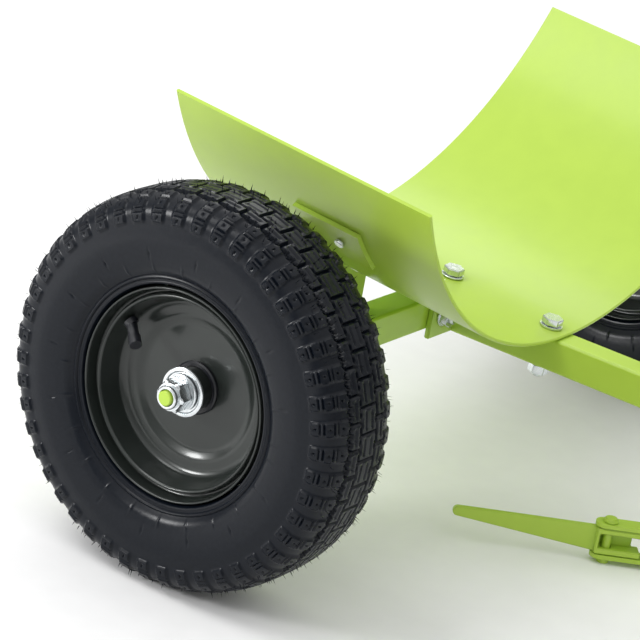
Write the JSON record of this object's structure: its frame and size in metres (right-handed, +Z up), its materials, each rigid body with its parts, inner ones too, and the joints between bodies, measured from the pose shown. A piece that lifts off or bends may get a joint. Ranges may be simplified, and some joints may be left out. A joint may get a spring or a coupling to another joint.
{
  "type": "two-wheeled log cart",
  "caption": "Low garden cart with a rolled-sheet log cradle on a square axle, pneumatic wheels, a square drawbar and a swivel-leg parking stand.",
  "frame": {"origin": "on the floor under the middle of the whole cart", "axes": "+X forward along the drawbar, +Y to the left, +Z up"},
  "size_m": [1.1056, 0.822, 0.3713],
  "materials": {
    "lime_paint": "gloss lime-green paint on steel",
    "zinc": "bright zinc-plated steel",
    "rim_paint": "gloss dark grey-green paint on pressed steel",
    "bearing_steel": "ground steel",
    "tyre_rubber": "moulded black rubber",
    "valve_rubber": "black rubber"
  },
  "bodies": {
    "chassis": {"axle_tube": "lime_paint", "cradle_sheet": "lime_paint", "saddle_left": "lime_paint", "saddle_right": "lime_paint", "tongue_tube": "lime_paint", "tongue_flange": "lime_paint", "hitch_strap_upper": "lime_paint", "hitch_strap_lower": "lime_paint", "stand_sleeve": "lime_paint", "cradle_spacer": "zinc", "cradle_bolt_rear": "zinc", "cradle_bolt_front": "zinc", "cradle_washer_rear": "zinc", "cradle_washer_front": "zinc", "cradle_nut_rear": "zinc", "cradle_nut_front": "zinc", "flange_bolt_left": "zinc", "flange_bolt_right": "zinc", "flange_nut_left": "zinc", "flange_nut_right": "zinc", "stand_set_screw": "zinc", "saddle_screw_left": "zinc", "saddle_screw_right": "zinc", "spindle_left": "lime_paint", "axle_plug_left": "lime_paint", "hub_washer_left": "zinc", "plain_washer_left": "zinc", "lock_nut_left": "zinc", "inner_washer_left": "zinc", "spindle_right": "lime_paint", "axle_plug_right": "lime_paint", "hub_washer_right": "zinc", "plain_washer_right": "zinc", "lock_nut_right": "zinc", "inner_washer_right": "zinc"},
    "wheel_right": {"tyre_right": "tyre_rubber", "rim_outer_right": "rim_paint", "rim_inner_right": "rim_paint", "hub_sleeve_right": "rim_paint", "bearing_outer_right": "bearing_steel", "bearing_inner_right": "bearing_steel", "dust_ring_right": "valve_rubber", "valve_stem_right": "valve_rubber"},
    "wheel_left": {"tyre_left": "tyre_rubber", "rim_outer_left": "rim_paint", "rim_inner_left": "rim_paint", "hub_sleeve_left": "rim_paint", "bearing_outer_left": "bearing_steel", "bearing_inner_left": "bearing_steel", "dust_ring_left": "valve_rubber", "valve_stem_left": "valve_rubber"},
    "post": {"stand_post": "lime_paint"},
    "stand_base": {"base_strap_lower": "lime_paint", "base_strap_upper": "lime_paint", "base_sleeve": "lime_paint", "leg_pin_rear": "lime_paint", "leg_pin_front": "lime_paint"},
    "rear_leg": {"leg_rear": "lime_paint"},
    "front_leg": {"leg_front": "lime_paint"},
    "pin": {"hitch_pin": "zinc"}
  },
  "joints": [
    {"name": "wheel_right_spin", "type": "hinge", "parent": "chassis", "child": "wheel_right", "pos_m": [-0.3878, -0.365, 0.165], "axis": [0, 1, 0], "continuous": true},
    {"name": "wheel_left_spin", "type": "hinge", "parent": "chassis", "child": "wheel_left", "pos_m": [-0.3878, 0.365, 0.165], "axis": [0, 1, 0], "continuous": true},
    {"name": "stand_slide", "type": "slide", "parent": "chassis", "child": "post", "axis": [0, 0, 1], "range_m": [0, 0.075]},
    {"name": "base_swivel", "type": "hinge", "parent": "post", "child": "stand_base", "pos_m": [-0.1318, 0, 0.02], "axis": [0, 0, 1], "continuous": true},
    {"name": "leg_rear_swing", "type": "hinge", "parent": "stand_base", "child": "rear_leg", "pos_m": [-0.16631, -0.02648, 0.02], "axis": [0, 0, 1], "range_deg": [-90, 90]},
    {"name": "leg_front_swing", "type": "hinge", "parent": "stand_base", "child": "front_leg", "pos_m": [-0.09729, 0.02648, 0.02], "axis": [0, 0, 1], "range_deg": [-90, 90]},
    {"name": "hitch_pin_slide", "type": "slide", "parent": "chassis", "child": "pin", "axis": [0, 0, 1], "range_m": [0, 0.08]}
  ]
}
